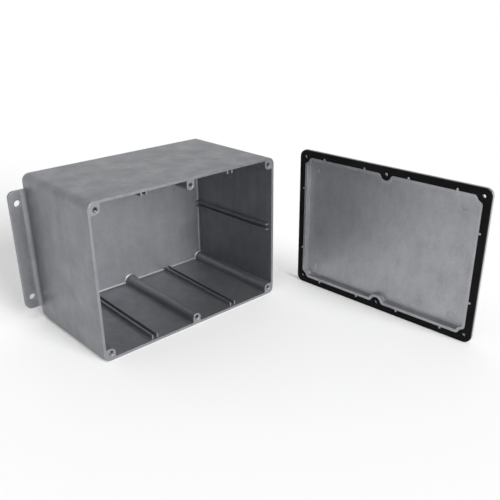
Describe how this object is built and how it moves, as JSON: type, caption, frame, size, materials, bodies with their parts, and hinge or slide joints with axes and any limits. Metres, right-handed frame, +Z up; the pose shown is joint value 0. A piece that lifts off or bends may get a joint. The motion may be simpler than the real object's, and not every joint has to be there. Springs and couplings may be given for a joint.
{
  "type": "die cast aluminium box",
  "caption": "Deep die cast aluminium enclosure with mounting flanges, board guides and tapped bosses, shown open beside its flat lid and black gasket.",
  "frame": {"origin": "centre of the four flange holes, in the plane of the box's back", "axes": "+Y out of the back towards the surface the box is fixed to, the mouth faces -Y, +X along the rim's long side towards the lid, +Z up as the box stands on its long side wall"},
  "size_m": [0.2341, 0.2659, 0.122],
  "materials": {
    "body_metal": "as cast, mottled satin",
    "lid_metal": "as cast, mottled satin",
    "gasket_rubber": "matt"
  },
  "bodies": {
    "root": {"body": "body_metal", "lid": "lid_metal", "gasket": "gasket_rubber"}
  },
  "joints": []
}
